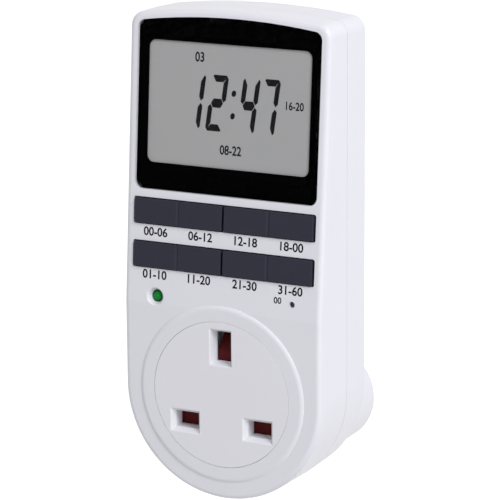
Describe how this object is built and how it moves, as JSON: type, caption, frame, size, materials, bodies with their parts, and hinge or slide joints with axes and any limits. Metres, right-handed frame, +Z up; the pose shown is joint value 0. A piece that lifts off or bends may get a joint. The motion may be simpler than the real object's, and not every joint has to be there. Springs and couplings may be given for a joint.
{
  "type": "digital timer socket",
  "caption": "Plug-in digital timer for a mains outlet: display, rocker keys, reset and lamp on a leaning face above a shuttered socket, with plug pins behind.",
  "frame": {"origin": "on the plug's mating face, midway between the live and neutral pins", "axes": "+Z up, +Y into the wall along the pins, +X to the right of a person who faces the front"},
  "size_m": [0.0604, 0.0647, 0.1345],
  "materials": {
    "white_casing": "satin moulded white",
    "outlet_white": "satin moulded white",
    "key_grey": "matt dark slate",
    "shutter_brown": "matt red-brown",
    "nylon_natural": "natural nylon",
    "brass": "rolled and milled brass",
    "sleeve_black": "black insulating sleeve",
    "clear_lens": "clear acrylic, standing in as glass",
    "mask_black": "black printed film",
    "lcd_grey": "grey reflective liquid-crystal glass",
    "frame_white": "white plastic",
    "zebra_rubber": "striped conductive rubber",
    "switch_black": "black plastic",
    "lamp_green": "tinted green epoxy",
    "tinned_steel": "tinned or plated steel",
    "plunger_grey": "grey plastic",
    "board_green": "green solder mask",
    "epoxy_black": "black epoxy",
    "relay_blue": "blue plastic",
    "film_yellow": "yellow plastic",
    "disc_blue": "blue epoxy coating",
    "resistor_tan": "tan coating",
    "wire_brown": "brown insulation",
    "wire_blue": "blue insulation",
    "link_grey": "grey flat cable",
    "plated_steel": "zinc-plated steel",
    "spring_steel": "spring steel wire"
  },
  "bodies": {
    "casing": {"front_shell": "white_casing", "rear_shell": "white_casing", "socket_plate": "outlet_white", "shutter_spring": "spring_steel", "contact_carrier": "nylon_natural", "live_contact": "brass", "neutral_contact": "brass", "earth_contact": "brass", "neutral_strap": "brass", "earth_strap": "brass", "live_pin": "brass", "neutral_pin": "brass", "earth_pin": "brass", "pin_sleeves": "sleeve_black", "pin_retainer": "nylon_natural", "display_lens": "clear_lens", "display_mask": "mask_black", "lcd_panel": "lcd_grey", "lcd_frame": "frame_white", "zebra_strips": "zebra_rubber", "key_switches": "switch_black", "status_lamp": "lamp_green", "lamp_leads": "tinned_steel", "reset_switch": "switch_black", "control_board": "board_green", "controller_chip": "epoxy_black", "clock_crystal": "tinned_steel", "backup_battery": "plated_steel", "power_board": "board_green", "relay": "relay_blue", "dropper_capacitor": "film_yellow", "smoothing_capacitor": "epoxy_black", "varistor": "disc_blue", "rectifier_diodes": "epoxy_black", "surge_resistor": "resistor_tan", "live_supply_wire": "wire_brown", "live_load_wire": "wire_brown", "neutral_wire": "wire_blue", "board_link": "link_grey", "case_screws": "plated_steel", "board_screws": "plated_steel", "retainer_screws": "plated_steel", "power_screws": "plated_steel"},
    "key_lower_left": {"key_lower_left": "key_grey"},
    "key_lower_right": {"key_lower_right": "key_grey"},
    "key_upper_left": {"key_upper_left": "key_grey"},
    "key_upper_right": {"key_upper_right": "key_grey"},
    "reset_plunger": {"reset_plunger": "plunger_grey"},
    "shutter": {"shutter": "shutter_brown"}
  },
  "joints": [
    {"name": "rock_lower_left", "type": "hinge", "parent": "casing", "child": "key_lower_left", "pos_m": [-0.01362, -0.03734, 0.04531], "axis": [0, 0.0797, 0.9968], "range_deg": [-2.5, 2.5], "stiffness_Nm_per_rad": 0.05},
    {"name": "rock_lower_right", "type": "hinge", "parent": "casing", "child": "key_lower_right", "pos_m": [0.01362, -0.03734, 0.04531], "axis": [0, 0.0797, 0.9968], "range_deg": [-2.5, 2.5], "stiffness_Nm_per_rad": 0.05},
    {"name": "rock_upper_left", "type": "hinge", "parent": "casing", "child": "key_upper_left", "pos_m": [-0.01362, -0.03639, 0.05727], "axis": [0, 0.0797, 0.9968], "range_deg": [-2.5, 2.5], "stiffness_Nm_per_rad": 0.05},
    {"name": "rock_upper_right", "type": "hinge", "parent": "casing", "child": "key_upper_right", "pos_m": [0.01362, -0.03639, 0.05727], "axis": [0, 0.0797, 0.9968], "range_deg": [-2.5, 2.5], "stiffness_Nm_per_rad": 0.05},
    {"name": "reset_press", "type": "slide", "parent": "casing", "child": "reset_plunger", "axis": [0, 0.9968, -0.0797], "range_m": [0, 0.0004], "stiffness_N_per_m": 300},
    {"name": "shutter_drop", "type": "slide", "parent": "casing", "child": "shutter", "axis": [0, 0, -1], "range_m": [0, 0.0088], "stiffness_N_per_m": 120, "springref_m": -0.003, "deforming": ["shutter_spring"]}
  ]
}
